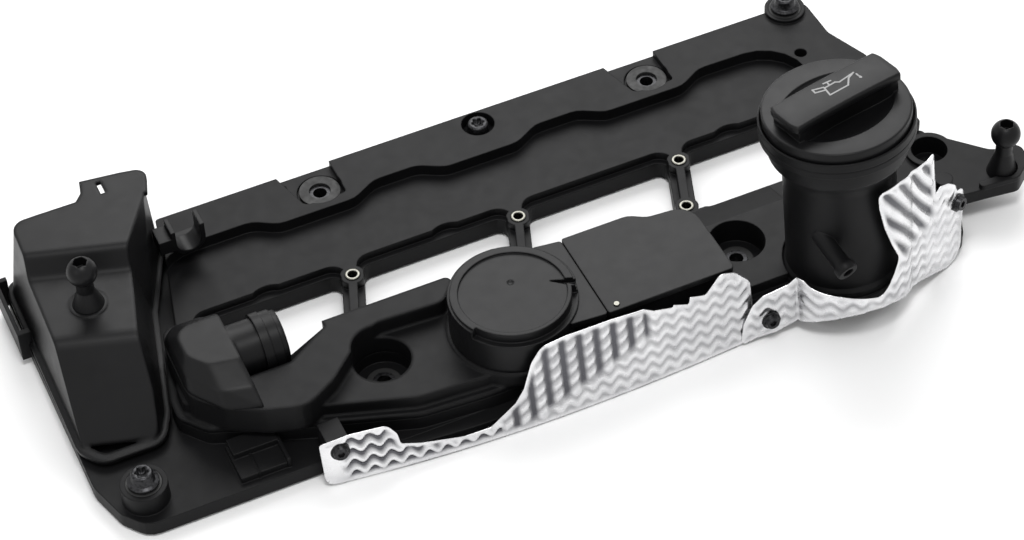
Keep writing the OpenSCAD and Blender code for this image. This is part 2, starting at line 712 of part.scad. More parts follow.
// Ball stud on a conical skirt, with a hexagon socket in the ball
module ball_stud(skirt_h, rise) {
    difference() {
        union() {
            translate([0, 0, rise]) sphere(r = ball_r);
            cylinder(r1 = 7.6, r2 = 4.2, h = skirt_h);
            translate([0, 0, skirt_h - e]) cylinder(r = 4.2, h = rise - skirt_h);
            translate([0, 0, -7]) cylinder(r = stud_r, h = 8);
        }
        translate([0, 0, rise + 1]) cylinder(r = 3.6, h = 20, $fn = 6);
    }
}

module ball_stud_left() {
    color(mould) from_datum() translate([stud_left.x, stud_left.y, reservoir_shelf + 0.6])
        ball_stud(9, 21);
}

module ball_stud_right() {
    color(mould) from_datum() translate([stud_right.x, stud_right.y, arm_top]) ball_stud(13, 25);
}

// Filler neck, with its collar rings and the nipple on its front
module filler_neck() {
    color(mould) from_datum() on_neck() difference() {
        union() {
            rotate_extrude() polygon([[10, 0], [28.5, 0], [28.5, 3], [neck_r, 5], [neck_r, 62], [30, 65],
                [30, 69], [33.5, 69.5],
                [33.5, 74], [36.8, 74.5], [37.4, 76], [37.4, neck_length - 1], [36.4, neck_length],
                    [10, neck_length]]);
            nipple(4.2, 20, 0);
            nipple(4.8, 8, 0);
        }
        translate([0, 0, -1]) cylinder(r = neck_bore_r, h = neck_length + 5);
        nipple(2.2, 20, 14);
        // Groove for the cap's two lugs, under a ledge with two slots
        translate([0, 0, neck_length - 17]) cylinder(r = 27.2, h = 9);
        for (a = [0, 180]) rotate([0, 0, a]) translate([0, 0, neck_length - 9]) lug(27, 36, 20);
    }
}
// Sector of a disc, for the cap's lugs and their slots
module lug(r, width, h) {
    intersection() {
        cylinder(r = r, h = h);
        rotate([0, 0, -width / 2]) cube([40, 40, h]);
        rotate([0, 0, width / 2 - 90]) cube([40, 40, h]);
    }
}
// Tube on the neck's front that points down and to the right
module nipple(r, h, back) {
    translate([-15, -20, 36]) rotate([115, 0, -4]) translate([0, 0, -back])
        cylinder(r = r, h = h + back + (back > 0 ? 1 : 0));
}

// Ring under the neck's foot
module neck_seal() {
    color(rubber) from_datum() on_neck() translate([0, 0, -2.3]) difference() {
        cylinder(r = 26.5, h = 2.3);
        translate([0, 0, -1]) cylinder(r = 24.3, h = 5);
    }
}

// Cap with its rim, finger bowl and plug
module filler_cap() {
    color(mould) from_datum() on_neck() translate([0, 0, neck_length + 1.2]) {
        difference() {
            union() {
                cylinder(r = cap_r, h = 4);
                translate([0, 0, 4 - e]) cylinder(r1 = cap_r, r2 = cap_r - 1.2, h = 1.6);
                translate([0, 0, -6]) cylinder(r = 19, h = 7);
            }
            // Bowl of the finger hollows
            translate([0, 0, 42.5]) sphere(r = 46, $fn = 64);
        }
        cap_grip();
    }
}

// Bar with a flat top that overhangs its scooped sides, turned a little on the cap
module cap_grip() {
    rotate([0, 0, 10]) intersection() {
        union() {
            translate([-31, -10.2, grip_top - 4]) cube([62, 20.4, 6]);
            difference() {
                translate([-28.5, -9.6, -3]) cube([57, 19.2, grip_top]);
                for (s = [-1, 1]) translate([0, s * 64.5, -5]) cylinder(r = 60, h = 40, $fn = 96);
            }
        }
        translate([0, 60, grip_top - grip_crown_r]) rotate([90, 0, 0])
            cylinder(r = grip_crown_r, h = 120, $fn = 300);
        union() {
            cylinder(r = 31.5, h = 60);
            translate([0, 0, -10]) cylinder(r = 18.5, h = 20);
        }
    }
}

// Bayonet sleeve inside the neck, fixed to the cap
module cap_insert() {
    color(mould) from_datum() on_neck() {
        difference() {
            union() {
                translate([0, 0, neck_length - 20]) cylinder(r = 22.6, h = 21.2);
                for (a = [0, 180]) rotate([0, 0, a]) translate([0, 0, neck_length - 15]) lug(26, 26, 4);
            }
            translate([0, 0, neck_length - 21]) cylinder(r = 19.5, h = 30);
        }
    }
}

// Flat seal under the cap's rim
module cap_seal() {
    color(rubber) from_datum() on_neck() translate([0, 0, neck_length]) difference() {
        cylinder(r = 33, h = 1.2);
        translate([0, 0, -1]) cylinder(r = 28, h = 4);
    }
}

// Embossed sheet: a thin band along a path, waved from side to side every fourth point
function side_at(path, i) = left_of(unit(path[min(i + 1, len(path) - 1)] - path[max(i - 1, 0)]));
function band_edge(path, d) = [for (i = [0:len(path) - 1])
    path[i] + side_at(path, i) * (d + 0.6 * cos(90 * i))];
function reversed(v) = [for (i = [len(v) - 1:-1:0]) v[i]];
function band(path) = concat(band_edge(path, -shield_t / 2), reversed(band_edge(path, shield_t / 2)));
function steps_between(a, b, n) = [for (i = [0:n - 1]) a + (b - a) * i / n];

// Bowed band cut to its front outline and leaned back
module heat_shield_front() {
    path = [for (x = [-146:1.9:77]) [x, x < -20 ? 9.3 * pow((x + 20) / 125, 2) : 3.8 * pow((x + 20) / 96,
        2)]];
    front = [[-145, 1, 5], [-100, 1, 5], [-40, 0.5, 5], [10, 0.5, 20], [66, 1, 4], [72.5, 8, 6],
        [72.5, 35, 6],
        [65, 43, 5], [57, 44.5, 4], [48.5, 38, 2], [40.2, 40.5, 0.5], [39.4, 36.8, 0.5],
            [31.3, 39.9, 0.5],
        [31, 38.6, 0.5], [21.6, 40.9, 2], [16.4, 44, 2], [-0.8, 45.4, 20], [-24, 45.8, 12],
            [-36, 44.5, 8],
        [-42, 37, 8], [-47, 24, 6], [-52, 17.3, 3], [-65, 8.5, 3], [-78, 8, 5], [-98, 11.5, 5],
            [-108, 14.5, 2],
        [-109, 21, 5], [-113, 27, 5], [-131, 27.5, 8], [-145, 25.3, 1.5]];
    color(foil) from_datum() difference() {
        intersection() {
            translate([0, -98.3, 0]) rotate([-shield_tilt, 0, 0]) translate([0, 0, -5]) linear_extrude(60)
                polygon(band(path));
            translate([0, -60, 0]) rotate([90, 0, 0]) linear_extrude(60) polygon(rounded(front));
        }
        at_screw(0) cylinder(r = screw_hole_r, h = 24, center = true);
    }
}

// Band round the neck's foot, with a tall wing in front and a lug at each end
module heat_shield_neck() {
    wrap = [for (a = [200:3.4:318]) 33 * [cos(a), sin(a)]];
    path = concat(steps_between([-60, -8.5], [-37, -10.5], 12), wrap, steps_between([27, -20.5],
        [41, -13], 8),
        steps_between([41, -13], [65, -1.5], 14), [[65, -1.5]]);
    front = [[64, 0.5, 2], [84, 0.5, 6], [98, 6, 6], [108, 14, 8], [130, 15, 20], [149, 7, 20],
        [176, 0.5, 8], [187, 1, 3],
        [189.5, 34, 3], [188.5, 41, 5], [179, 42, 5], [175, 37, 2], [171, 44, 5], [163.5, 88, 1],
            [150, 83, 20], [126, 87, 3],
        [129, 72, 20], [138, 46, 15], [139, 37, 5], [130, 27, 5], [112, 27, 6], [98, 26, 4], [76, 21, 6],
            [66, 19, 6]];
    color(foil) from_datum() difference() {
        intersection() {
            translate(neck_foot) rotate([-7, 0, 0]) translate([0, 0, -25]) linear_extrude(100)
                polygon(band(path));
            translate([0, -40, 0]) rotate([90, 0, 0]) linear_extrude(90) polygon(rounded(front));
        }
        for (i = [1, 2]) at_screw(i) cylinder(r = screw_hole_r, h = 24, center = true);
    }
}

// Each screw's place on its sheet's middle plane, the sheet's lean and its turn
screw_at = [[-135.9, -86.94, 19.6], [80, -96.32, 12], [184, -87.79, 36]];
screw_turn = [[shield_tilt, -7.8], [7, -5], [7, 25.6]];
module at_screw(i) { translate(screw_at[i]) rotate([90 - screw_turn[i][0], 0, screw_turn[i][1]])
    children(); }

// Small pan-head screw, its head clear of the sheet's waves
module shield_screw() {
    difference() {
        union() {
            translate([0, 0, -12]) cylinder(r = screw_r, h = 13.4);
            translate([0, 0, 1.2]) cylinder(r = 4.6, h = 0.8);
            translate([0, 0, 2 - e]) cylinder(r1 = 3.9, r2 = 3.2, h = 2.2);
        }
        translate([0, 0, 2.8]) cylinder(r = 1.8, h = 4, $fn = 6);
    }
}

module shield_screws() {
    color(steel) from_datum() for (i = [0:2]) at_screw(i) shield_screw();
}

cover_base();
rim_gasket();
well_gasket();
rib_inserts();
spacer_sleeves();
sleeve_grommets();
cover_bolts();
separator_lid();
separator_baffle();
drain_valve();
breather_hood();
stub_collar();
stub_o_ring();
valve_cap();
valve_diaphragm();
valve_plate();
valve_spring();
chamber_lid();
lid_pin();
reservoir_shell();
hose_clip();
ball_stud_left();
ball_stud_right();
filler_neck();
neck_seal();
filler_cap();
cap_insert();
cap_seal();
heat_shield_front();
heat_shield_neck();
shield_screws();
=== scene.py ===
"""Finishes, fasteners, dimpled heat shields, studio and camera for a moulded engine valve cover."""

import json
import math

import bmesh
import bpy
from mathutils import Matrix, Vector


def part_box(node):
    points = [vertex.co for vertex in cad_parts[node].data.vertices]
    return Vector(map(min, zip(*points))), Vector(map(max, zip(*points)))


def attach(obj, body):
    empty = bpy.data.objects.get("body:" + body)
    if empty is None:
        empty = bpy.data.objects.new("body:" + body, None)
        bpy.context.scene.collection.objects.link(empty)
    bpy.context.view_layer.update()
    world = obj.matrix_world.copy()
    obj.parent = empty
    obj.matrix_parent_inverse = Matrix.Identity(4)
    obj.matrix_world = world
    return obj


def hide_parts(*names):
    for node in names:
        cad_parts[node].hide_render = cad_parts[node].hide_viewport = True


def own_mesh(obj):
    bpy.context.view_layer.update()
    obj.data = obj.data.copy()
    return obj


bl_info = {
    "name": "Engine Valve Cover",
    "version": (1, 0, 0),
    "blender": (4, 5, 0),
    "location": "View3D > Sidebar > Valve Cover",
    "description": "Dresses the valve cover's frame with its finishes, shields and fasteners",
    "category": "Object",
}

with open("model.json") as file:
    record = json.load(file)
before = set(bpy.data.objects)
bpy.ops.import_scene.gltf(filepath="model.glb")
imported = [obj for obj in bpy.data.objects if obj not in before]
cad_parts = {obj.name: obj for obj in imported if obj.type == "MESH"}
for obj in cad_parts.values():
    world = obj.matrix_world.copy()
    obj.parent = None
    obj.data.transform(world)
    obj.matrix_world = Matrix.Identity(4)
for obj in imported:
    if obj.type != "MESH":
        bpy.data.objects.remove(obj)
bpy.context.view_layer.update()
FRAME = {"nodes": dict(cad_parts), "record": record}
NODES = FRAME["nodes"]
MM = 0.001

# The lid's small pin stands at a known place beside the middle cylinder's line
PIN_FROM_MIDDLE = Vector((6.5, -82.5, 0))
PIN_LOW, PIN_HIGH = (Vector(corner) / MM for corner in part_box("lid_pin"))
PIN_CENTRE = (PIN_LOW + PIN_HIGH) / 2
DATUM = Vector((PIN_CENTRE.x, PIN_CENTRE.y, 0)) - PIN_FROM_MIDDLE

# The filler neck's foot, lean and length, then the cap's seat on it and the cap's grip
NECK_FOOT = Vector((124.8, -85.2, 22))
NECK_LEAN = Matrix.Rotation(math.radians(-2), 4, "Y") @ Matrix.Rotation(math.radians(-5), 4, "X")
NECK = Matrix.Translation(NECK_FOOT) @ NECK_LEAN
NECK_LENGTH = 83
CAP_SEAT = NECK_LENGTH + 1.2
GRIP_TURN = math.radians(10)
GRIP_TOP = 20.5
CROWN_RADIUS = 600

# Roughness and specular level of the two nylon skins, and radius of their moulded edges in millimetres
DULL_SKIN = (0.46, 0.13)
SATIN_SKIN = (0.38, 0.165)
SOFT_EDGE = 2.6
FINE_EDGE = 0.9

# Lobes of a bolt's socket, and the seed of the angles at which repeated parts are set
LOBES = 6
TURN_SEED = 3


def linear(hex_colour):
    """An sRGB hex colour as linear red, green, blue and alpha."""
    values = [int(hex_colour[i:i + 2], 16) / 255 for i in (1, 3, 5)]
    return [v / 12.92 if v <= 0.04045 else ((v + 0.055) / 1.055) ** 2.4 for v in values] + [1]


def add_node(tree, kind, inputs=None, **settings):
    """Adds a node, sets its properties, then sets or links its inputs."""
    item = tree.nodes.new(kind)
    for name, value in settings.items():
        setattr(item, name, value)
    for name, value in (inputs or {}).items():
        if isinstance(value, bpy.types.NodeSocket):
            tree.links.new(value, item.inputs[name])
        else:
            item.inputs[name].default_value = value
    return item


def new_material(name):
    """An empty material with its Principled shader, tree and coordinates in millimetres."""
    material = bpy.data.materials.new(name)
    material.use_nodes = True
    tree = material.node_tree
    tree.nodes.clear()
    shader = add_node(tree, "ShaderNodeBsdfPrincipled")
    add_node(tree, "ShaderNodeOutputMaterial", {"Surface": shader.outputs["BSDF"]})
    where = add_node(tree, "ShaderNodeTexCoord").outputs["Object"]
    place = add_node(tree, "ShaderNodeMapping", {"Vector": where, "Scale": (1000, 1000, 1000)})
    return material, tree, shader, place.outputs["Vector"]


def noise(tree, where, size_mm, detail=2.0, roughness=0.5):
    """Noise whose lumps are about size_mm across."""
    item = add_node(tree, "ShaderNodeTexNoise",
                    {"Vector": where, "Scale": 1 / size_mm, "Detail": detail, "Roughness": roughness})
    return item.outputs["Fac"]


def tinted(tree, share, first, second):
    """A colour between two, by a share from 0 to 1; sockets 6 and 7 of a mix are its colours."""
    item = add_node(tree, "ShaderNodeMix", {"Factor": share, 6: first, 7: second}, data_type="RGBA")
    return item.outputs[2]


def spread(tree, value, low, high):
    """Maps noise, most of which lies between 0.3 and 0.7, onto a range."""
    item = add_node(tree, "ShaderNodeMapRange",
                    {"Value": value, "From Min": 0.3, "From Max": 0.7, "To Min": low, "To Max": high})
    return item.outputs["Result"]


def moulded_nylon(name, colour, worn, edge_mm, gloss, sheen):
    """Injection-moulded glass-filled nylon: near-black, soft sheen, fine grain and rounded edges."""
    material, tree, shader, where = new_material(name)
    cloud = noise(tree, where, 38, 4)
    tint = tinted(tree, spread(tree, cloud, 0, 1), linear(colour), linear(worn))
    tree.links.new(tint, shader.inputs["Base Color"])
    streak = noise(tree, where, 7, 5, 0.6)
    tree.links.new(spread(tree, streak, gloss - 0.02, gloss + 0.04), shader.inputs["Roughness"])
    # Spark-eroded mould texture, drawn at 0.7 mm so that it shows
    grain = noise(tree, where, 0.7, 3, 0.6)
    edge = add_node(tree, "ShaderNodeBevel", {"Radius": edge_mm * MM}, samples=6)
    bump = add_node(tree, "ShaderNodeBump",
                    {"Height": grain, "Strength": 0.12, "Distance": 0.0002, "Normal": edge.outputs["Normal"]})
    tree.links.new(bump.outputs["Normal"], shader.inputs["Normal"])
    shader.inputs["IOR"].default_value = 1.5
    # Glass fibres at the skin break up the sheen
    shader.inputs["Specular IOR Level"].default_value = sheen
    return material


def seal_rubber():
    """Moulded oil-proof rubber: blacker and duller than the nylon."""
    material, tree, shader, where = new_material("seal_rubber_moulded")
    shader.inputs["Base Color"].default_value = linear("#121212")
    tree.links.new(spread(tree, noise(tree, where, 3, 3), 0.55, 0.75), shader.inputs["Roughness"])
    edge = add_node(tree, "ShaderNodeBevel", {"Radius": 0.5 * MM}, samples=4)
    tree.links.new(edge.outputs["Normal"], shader.inputs["Normal"])
    shader.inputs["IOR"].default_value = 1.52
    return material


def plated_steel():
    """Turned and zinc-plated steel: bright, with fine turning marks."""
    material, tree, shader, where = new_material("zinc_plated_steel")
    shader.inputs["Base Color"].default_value = linear("#77766f")
    shader.inputs["Metallic"].default_value = 1.0
    tree.links.new(spread(tree, noise(tree, where, 0.8, 3), 0.22, 0.42), shader.inputs["Roughness"])
    edge = add_node(tree, "ShaderNodeBevel", {"Radius": 0.2 * MM}, samples=4)
    tree.links.new(edge.outputs["Normal"], shader.inputs["Normal"])
    return material


def blackened_steel():
    """Zinc-nickel plated and blackened screw steel: dark satin metal, lighter in fine random patches."""
    material, tree, shader, where = new_material("blackened_screw_steel")
    rub = noise(tree, where, 1.2, 4)
    tint = tinted(tree, spread(tree, rub, 0, 1), linear("#1a1a1b"), linear("#3a3a3c"))
    tree.links.new(tint, shader.inputs["Base Color"])
    tree.links.new(spread(tree, rub, 0.26, 0.42), shader.inputs["Roughness"])
    edge = add_node(tree, "ShaderNodeBevel", {"Radius": 0.25 * MM}, samples=4)
    tree.links.new(edge.outputs["Normal"], shader.inputs["Normal"])
    shader.inputs["Metallic"].default_value = 0.85
    return material


def embossed_aluminium():
    """Bright rolled aluminium sheet: glossy, with painted shade that darkens the grooves of its pressing."""
    material, tree, shader, where = new_material("rolled_aluminium_sheet")
    cloud = noise(tree, where, 14, 3)
    tint = tinted(tree, spread(tree, cloud, 0, 1), linear("#d2d2d4"), linear("#e8e8e9"))
    # Painted shade: the sheet's colour turns dark grey in the grooves of the pressing
    pressed = add_node(tree, "ShaderNodeAttribute", attribute_name="pressed").outputs["Fac"]
    tree.links.new(tinted(tree, pressed, tint, linear("#57575b")), shader.inputs["Base Color"])
    shader.inputs["Metallic"].default_value = 1.0
    tree.links.new(spread(tree, noise(tree, where, 5, 4), 0.2, 0.32), shader.inputs["Roughness"])
    # Roller marks and handling dents, about 3 mm across
    dents = noise(tree, where, 3, 2)
    bump = add_node(tree, "ShaderNodeBump", {"Height": dents, "Strength": 0.15, "Distance": 0.0005})
    tree.links.new(bump.outputs["Normal"], shader.inputs["Normal"])
    return material


def symbol_grey():
    """Pale grey laser mark on the cap's grip."""
    material, tree, shader, where = new_material("laser_marked_nylon")
    shader.inputs["Base Color"].default_value = linear("#8c8c8c")
    tree.links.new(spread(tree, noise(tree, where, 1.5, 2), 0.5, 0.65), shader.inputs["Roughness"])
    shader.inputs["IOR"].default_value = 1.5
    return material


def finished(name, mesh, body, material, smooth=True, replaces=()):
    """Puts a finished mesh in the scene as a piece that rides on a body."""
    piece = bpy.data.objects.new(name, mesh)
    bpy.context.scene.collection.objects.link(piece)
    mesh.materials.clear()
    mesh.materials.append(material)
    if smooth:
        mesh.shade_smooth()
    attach(piece, body)
    if replaces:
        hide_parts(*replaces)
    return piece


def mesh_from(name, bm):
    """Turns a bmesh into a mesh, in metres in the row's frame, and frees it."""
    bmesh.ops.transform(bm, matrix=Matrix.Scale(MM, 4) @ Matrix.Translation(DATUM), verts=bm.verts)
    mesh = bpy.data.meshes.new(name)
    bm.to_mesh(mesh)
    bm.free()
    return mesh


def lathe(rings, segments):
    """A closed turned form from (radius, height, lobe depth) rings, which start and end on the axis."""
    bm = bmesh.new()
    rows = []
    for radius, height, lobe in rings:
        if radius == 0:
            rows.append([bm.verts.new((0, 0, height))])
            continue
        row = []
        for i in range(segments):
            a = 2 * math.pi * i / segments
            r = radius + lobe * math.cos(LOBES * a)
            row.append(bm.verts.new((r * math.cos(a), r * math.sin(a), height)))
        rows.append(row)
    return skin(bm, rows, segments)


def skin(bm, rows, segments):
    """Joins rows of vertices, one after another, with faces; a row of one vertex is a point on the axis."""
    for low, high in zip(rows, rows[1:]):
        for i in range(segments):
            j = (i + 1) % segments
            corners = [low[i % len(low)], low[j % len(low)], high[j % len(high)], high[i % len(high)]]
            unique = list(dict.fromkeys(corners))
            if len(unique) > 2:
                bm.faces.new(unique)
    bmesh.ops.recalc_face_normals(bm, faces=bm.faces)
    return bm


def sides(bm, low, high):
    """Joins two closed loops of vertices with a wall of faces."""
    for i in range(len(low)):
        j = (i + 1) % len(low)
        bm.faces.new([low[i], low[j], high[j], high[i]])


def turned(profile, segments):
    """A plain turned form from a (radius, height) profile, closed flat at both ends."""
    rings = [(radius, height, 0) for radius, height in profile]
    return lathe([(0, profile[0][1], 0)] + rings + [(0, profile[-1][1], 0)], segments)


def combine(bm, other, operation):
    """Adds one closed form to another, or cuts it out, and frees both; returns a new bmesh."""
    parts = []
    for i, form in enumerate((bm, other)):
        mesh = bpy.data.meshes.new(f"form_{i}")
        form.to_mesh(mesh)
        form.free()
        parts.append(bpy.data.objects.new(f"form_{i}", mesh))
        bpy.context.scene.collection.objects.link(parts[-1])
    body, tool = parts
    modifier = body.modifiers.new("Combine", "BOOLEAN")
    modifier.operation = operation
    modifier.solver = "EXACT"
    modifier.object = tool
    mesh = bpy.data.meshes.new_from_object(body.evaluated_get(bpy.context.evaluated_depsgraph_get()))
    result = bmesh.new()
    result.from_mesh(mesh)
    for part in parts:
        bpy.data.objects.remove(part)
    return result


def move(bm, matrix):
    """Moves a whole bmesh and returns it."""
    bmesh.ops.transform(bm, matrix=matrix, verts=bm.verts)
    return bm


def crisp(mesh):
    """Smooth shading that keeps the corners sharper than 35 degrees."""
    mesh.shade_smooth()
    mesh.set_sharp_from_angle(angle=math.radians(35))


# Geometry Nodes


def geometry_tree(name, sockets):
    """A node tree with named inputs; returns the tree, its input node and the sockets' identifiers."""
    tree = bpy.data.node_groups.new(name, "GeometryNodeTree")
    tree.interface.new_socket("Geometry", in_out="OUTPUT", socket_type="NodeSocketGeometry")
    names = {}
    for label, kind in [("Geometry", "NodeSocketGeometry")] + sockets:
        names[label] = tree.interface.new_socket(label, in_out="INPUT", socket_type=kind).identifier
    return tree, add_node(tree, "NodeGroupInput"), names


def set_on_points_tree(name):
    """Sets a copy of a part on every point, each turned by a fixed random angle, and realizes them."""
    tree, given, names = geometry_tree(name, [("Part", "NodeSocketObject"), ("Finish", "NodeSocketMaterial"),
                                              ("Largest Turn", "NodeSocketFloat"), ("Seed", "NodeSocketInt")])
    part = add_node(tree, "GeometryNodeObjectInfo", {"Object": given.outputs["Part"]})
    angle = add_node(tree, "FunctionNodeRandomValue",
                     {"Max": given.outputs["Largest Turn"], "Seed": given.outputs["Seed"]}, data_type="FLOAT")
    turn = add_node(tree, "ShaderNodeCombineXYZ", {"Z": angle.outputs[1]})
    placed = add_node(tree, "GeometryNodeInstanceOnPoints",
                      {"Points": given.outputs["Geometry"], "Instance": part.outputs["Geometry"],
                       "Rotation": turn.outputs["Vector"]})
    real = add_node(tree, "GeometryNodeRealizeInstances", {"Geometry": placed.outputs["Instances"]})
    dressed = add_node(tree, "GeometryNodeSetMaterial",
                       {"Geometry": real.outputs["Geometry"], "Material": given.outputs["Finish"]})
    add_node(tree, "NodeGroupOutput", {"Geometry": dressed.outputs["Geometry"]})
    return tree, names


def set_on_points(name, part_bm, points, material, turn=0.0):
    """Runs the tree above on a list of points in millimetres and returns the plain mesh."""
    part_mesh = bpy.data.meshes.new(name + "_part")
    bmesh.ops.scale(part_bm, vec=(MM, MM, MM), verts=part_bm.verts)
    part_bm.to_mesh(part_mesh)
    part_bm.free()
    part_mesh.shade_smooth()
    part = bpy.data.objects.new(name + "_part", part_mesh)
    carrier_mesh = bpy.data.meshes.new(name + "_points")
    carrier_mesh.from_pydata([(Vector(p) + DATUM) * MM for p in points], [], [])
    carrier = bpy.data.objects.new(name + "_points", carrier_mesh)
    bpy.context.scene.collection.objects.link(carrier)
    tree, names = set_on_points_tree(name)
    modifier = carrier.modifiers.new("Set", "NODES")
    modifier.node_group = tree
    modifier[names["Part"]] = part
    modifier[names["Finish"]] = material
    modifier[names["Largest Turn"]] = turn
    modifier[names["Seed"]] = TURN_SEED
    mesh = bpy.data.meshes.new_from_object(carrier.evaluated_get(bpy.context.evaluated_depsgraph_get()))
    carrier.modifiers.clear()
    bpy.data.objects.remove(carrier)
    bpy.data.objects.remove(part)
    mesh.name = name
    return mesh


# Sheets


def clamp(*values):
    """The least of some values, held between 0 and 1."""
    return max(0.0, min(1.0, *values))


def rounded(points, steps=4):
    """The corners (x, z, radius) of a closed outline, rounded by arcs."""
    result = []
    count = len(points)
    for i, (x, z, radius) in enumerate(points):
        here = Vector((x, z))
        before = Vector(points[i - 1][:2]) - here
        after = Vector(points[(i + 1) % count][:2]) - here
        half = before.angle(after) / 2
        if half > math.radians(88) or radius == 0:
            result.append(here)
            continue
        reach = min(radius / math.tan(half), 0.48 * min(before.length, after.length))
        radius = reach * math.tan(half)
        middle = here + (before.normalized() + after.normalized()).normalized() * radius / math.sin(half)
        first = here + before.normalized() * reach - middle
        last = here + after.normalized() * reach - middle
        sweep = first.angle_signed(last)
        for k in range(steps + 1):
            turn = Matrix.Rotation(-sweep * k / steps, 2)
            result.append(middle + turn @ first)
    return result


def edge_distance(point, outline):
    """Distance from a point to the nearest side of a closed outline."""
    nearest = float("inf")
    for a, b in zip(outline, outline[1:] + outline[:1]):
        side = b - a
        share = clamp((point - a).dot(side) / max(side.length_squared, 1e-9))
        nearest = min(nearest, (a + side * share - point).length)
    return nearest


def sheet_mesh(name, outline, place, pressing, settings):
    """A flat outline in x and z, cut into cells, given its relief, and set in space by place(x, z, press);
    painted shade for the grooves is kept as a point attribute.
    """
    bm = bmesh.new()
    edge = rounded(outline)
    bm.faces.new([bm.verts.new((p.x, 0, p.y)) for p in edge])
    for axis in (0, 2):
        values = [v.co[axis] for v in bm.verts]
        low, high = min(values), max(values)
        normal = Vector((0, 0, 0))
        normal[axis] = 1
        for k in range(1, int((high - low) / settings.cell) + 1):
            at = Vector((0, 0, 0))
            at[axis] = low + k * settings.cell
            everything = bm.verts[:] + bm.edges[:] + bm.faces[:]
            bmesh.ops.bisect_plane(bm, geom=everything, plane_co=at, plane_no=normal, dist=1e-4)
    painted_shade_values = []
    for v in bm.verts:
        x, z = v.co.x, v.co.z
        inside = edge_distance(Vector((x, z)), edge) - settings.border
        share = clamp(inside / settings.shoulder)
        raised = pressing(x, z, settings)
        # Painted shade, strongest in the grooves and fading out towards the flat border
        painted_shade_values.append(share * (1 - raised))
        v.co = place(x, z, share * settings.depth * (2 * raised - 1))
    bmesh.ops.recalc_face_normals(bm, faces=bm.faces)
    mesh = mesh_from(name, bm)
    # The painted shade is stored on the points, where the sheet's material darkens its colour by it
    pressed = mesh.attributes.new("pressed", "FLOAT", "POINT")
    pressed.data.foreach_set("value", painted_shade_values)
    return mesh


def zigzag(along, up, settings, depth):
    """Zigzag waves across the sheet, from 1 down to 1 - depth."""
    wave = 0.25 * math.cos(2 * math.pi * along / settings.pitch_along)
    return 1 - depth * (0.5 - 0.5 * math.cos(2 * math.pi * (up / settings.pitch_up - wave)))


def streaks(along, up, settings):
    """Broad ridges that slant down to the right, bent a little so that they aren't all alike."""
    bend = 0.12 * math.sin(along / 6.0) + 0.1 * math.sin(up / 9.0)
    return 0.5 + 0.7 * math.cos(2 * math.pi * ((1.5 * along + up) / settings.pitch_streaks + bend))


def columns(along, up, settings):
    """Upright columns of slanting lumps with grooves between them."""
    across = (along / settings.pitch_along) % 1
    strip = clamp(1.7 * math.sin(math.pi * across) ** 2 - 0.25)
    lump = 0.5 + 0.5 * math.cos(2 * math.pi * (up / settings.pitch_up - settings.slant * (across - 0.5)))
    return strip * (0.4 + 0.6 * lump)


# Settings


def text_setting(name, default, description):
    return bpy.props.StringProperty(name=name, default=default, description=description)


def number_setting(name, default, description, **extra):
    return bpy.props.FloatProperty(name=name, default=default, description=description, **extra)


class ValveCoverColours(bpy.types.PropertyGroup):
    nylon: text_setting("Nylon", "#09090a", "Colour of the moulded nylon")
    nylon_worn: text_setting("Handled nylon", "#101011", "Colour where it has been handled")
    floor: text_setting("Floor", "#f2f2f2", "Colour of the studio floor")


class ValveCoverShield(bpy.types.PropertyGroup):
    pitch_along: number_setting("Pitch along", 8.7, "Spacing of the columns, mm")
    pitch_up: number_setting("Pitch up", 6.5, "Spacing of the lumps up a column, mm")
    slant: number_setting("Slant", 0.9, "Rise of a lump across its column, in pitches")
    pitch_streaks: number_setting("Pitch of streaks", 13.0, "Spacing of the wing's streaks, mm")
    depth: number_setting("Depth", 0.75, "Half the height of the pressing, mm")
    border: number_setting("Border", 1.0, "Width of the flat border, mm")
    shoulder: number_setting("Shoulder", 2.0, "Width over which the pressing rises beside the border, mm")
    thickness: number_setting("Thickness", 0.5, "Thickness of the sheet, mm")
    cell: number_setting("Cell", 0.9, "Size of the sheet's faces, mm")


class ValveCoverLight(bpy.types.PropertyGroup):
    surround: number_setting("Surround", 0.66, "Strength of the studio's walls")
    key: number_setting("Key", 20.0, "Power of the large lamp overhead", unit="POWER")
    fill: number_setting("Fill", 2.0, "Power of the side lamp", unit="POWER")
    edge: number_setting("Edge", 11.0, "Power of the small lamp in front", unit="POWER")


# Operators


def store(name, make):
    """The named material, made the first time it is asked for."""
    return bpy.data.materials.get(name) or make()


def nylon(node):
    """The nylon of a node: the base, neck and separator lid are duller, and three parts have soft edges."""
    colours = bpy.context.scene.cover_colours
    dull = node in ("cover_base", "filler_neck", "separator_lid")
    soft = node in ("reservoir_shell", "breather_hood", "separator_lid")
    name = "moulded_nylon_" + ("dull" if dull else "satin") + ("_soft_edges" if soft else "")
    edge_mm = SOFT_EDGE if soft else FINE_EDGE
    gloss, sheen = DULL_SKIN if dull else SATIN_SKIN
    return store(name, lambda: moulded_nylon(name, colours.nylon, colours.nylon_worn, edge_mm, gloss, sheen))


def foil():
    return store("rolled_aluminium_sheet", embossed_aluminium)


def dark_steel():
    return store("blackened_screw_steel", blackened_steel)


def bright_steel():
    return store("zinc_plated_steel", plated_steel)


class VALVECOVER_OT_finishes(bpy.types.Operator):
    """Give every part of the frame the finish of the real one"""

    bl_idname = "valve_cover.finishes"
    bl_label = "Finishes"

    def execute(self, context):
        rubber = store("seal_rubber_moulded", seal_rubber)
        finishes = {"seal_rubber": rubber, "bright_steel": bright_steel(), "black_steel": dark_steel(),
                    "shield_foil": foil()}
        slots = {entry["node"]: entry["material_slot"] for entry in FRAME["record"]["subparts"]}
        for name, part in NODES.items():
            material = finishes.get(slots[name]) or nylon(name)
            for slot in part.material_slots:
                slot.material = material
        return {"FINISHED"}


